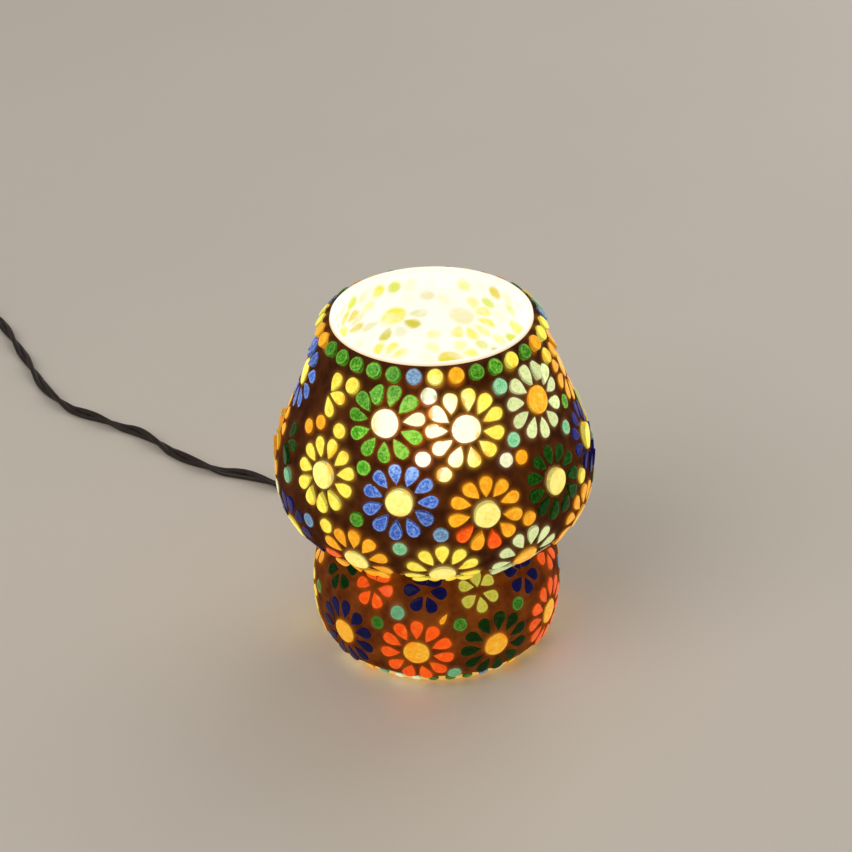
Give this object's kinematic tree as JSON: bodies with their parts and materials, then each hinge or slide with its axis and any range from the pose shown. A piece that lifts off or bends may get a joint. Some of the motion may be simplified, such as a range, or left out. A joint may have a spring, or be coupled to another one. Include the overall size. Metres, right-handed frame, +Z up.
{
  "type": "table lamp",
  "caption": "Mushroom-shaped mosaic glass table lamp with flower tiles, a bayonet bulb and holder in the neck, and a corded plug with an in-line switch.",
  "frame": {"origin": "centre of the glass foot, on the surface that the lamp stands on", "axes": "+Z up through the bulb; -Y is the front of the lamp; the cord leaves low at the back, towards +Y and -X"},
  "size_m": [0.4596, 0.412, 0.1645],
  "materials": {
    "opal_glass": "blown opal white glass, glossy, lit warm from inside",
    "grout": "dark brown grout, matt, fine sand grain",
    "rubber": "matt black rubber",
    "steel": "zinc plated, satin",
    "bakelite": "dark brown moulded bakelite",
    "porcelain": "white glazed insulator",
    "brass": "turned brass, satin",
    "aluminium": "thin rolled shell, satin",
    "vitrite": "black glass insulator",
    "solder": "solder pads, satin",
    "clear_glass": "clear pressed glass",
    "tungsten": "wire, lit white-hot",
    "frosted_glass": "frosted bulb glass, lit warm white",
    "cord_pvc": "dark brown-black PVC flex, twisted",
    "tie_plastic": "black strap",
    "black_plastic": "moulded black plastic, fine grain",
    "rocker_plastic": "moulded black plastic, gloss",
    "glass_yellow": "cut tile glass, glossy, backlit",
    "glass_orange": "cut tile glass, glossy, backlit",
    "glass_red": "cut tile glass, glossy, backlit",
    "glass_green": "cut tile glass, crackled, backlit",
    "glass_emerald": "cut tile glass, dark green, backlit",
    "glass_blue": "cut tile glass, crackled, backlit",
    "glass_navy": "cut tile glass, dark blue, backlit",
    "glass_mint": "cut tile glass, pale green, crackled",
    "glass_olive": "cut tile glass, pale olive, backlit",
    "glass_cream": "cut tile glass, pale yellow, backlit",
    "glass_amber": "cut tile glass, amber, backlit",
    "glass_white": "cut tile glass, near white, backlit"
  },
  "bodies": {
    "lamp": {"glass_body": "opal_glass", "shade_bed": "grout", "base_bed": "grout", "petals_yellow": "glass_yellow", "petals_orange": "glass_orange", "petals_red": "glass_red", "petals_green": "glass_green", "petals_emerald": "glass_emerald", "petals_blue": "glass_blue", "petals_navy": "glass_navy", "petals_mint": "glass_mint", "petals_olive": "glass_olive", "discs_cream": "glass_cream", "discs_yellow": "glass_yellow", "discs_amber": "glass_amber", "dots_yellow": "glass_yellow", "dots_orange": "glass_orange", "dots_green": "glass_green", "dots_mint": "glass_mint", "dots_blue": "glass_blue", "dots_white": "glass_white", "neck_gasket": "rubber", "neck_spider": "steel", "clamp_bar": "steel", "clamp_pads": "rubber", "clamp_screws": "steel", "clamp_nuts": "steel", "holder_cap": "bakelite", "holder_core": "porcelain", "holder_barrel": "bakelite", "shade_ring": "bakelite", "terminals": "brass", "plunger_springs": "steel", "cord_gland": "rubber", "inner_lead": "cord_pvc", "cord_run": "cord_pvc", "cord_coil": "cord_pvc", "coil_tie": "tie_plastic", "switch_lower": "black_plastic", "switch_upper": "black_plastic", "rocker_pin": "steel", "switch_screws": "steel", "plug_body": "black_plastic", "plug_boot": "rubber", "plug_pins": "brass"},
    "plungers": {"plungers": "brass"},
    "bulb": {"bulb_cap": "aluminium", "bulb_insulator": "vitrite", "bulb_contacts": "solder", "bulb_pins": "brass", "bulb_stem": "clear_glass", "bulb_filament": "tungsten", "bulb_envelope": "frosted_glass"},
    "rocker": {"switch_rocker": "rocker_plastic"}
  },
  "joints": [
    {"name": "plunger_push", "type": "slide", "parent": "lamp", "child": "plungers", "axis": [0, 0, -1], "range_m": [0, 0.002], "stiffness_N_per_m": 3000, "springref_m": -0.0015, "deforming": ["plunger_springs"]},
    {"name": "bulb_twist", "type": "hinge", "parent": "plungers", "child": "bulb", "pos_m": [0, 0, 0.077], "axis": [0, 0, 1], "range_deg": [0, 25]},
    {"name": "rocker_tilt", "type": "hinge", "parent": "lamp", "child": "rocker", "pos_m": [-0.316, 0.327, 0.0116], "axis": [0, 1, 0], "range_deg": [-16, 0]}
  ],
  "couplings": [
    {"joint": "bulb_twist", "follows": "plunger_push", "rad_per_m": 218}
  ]
}
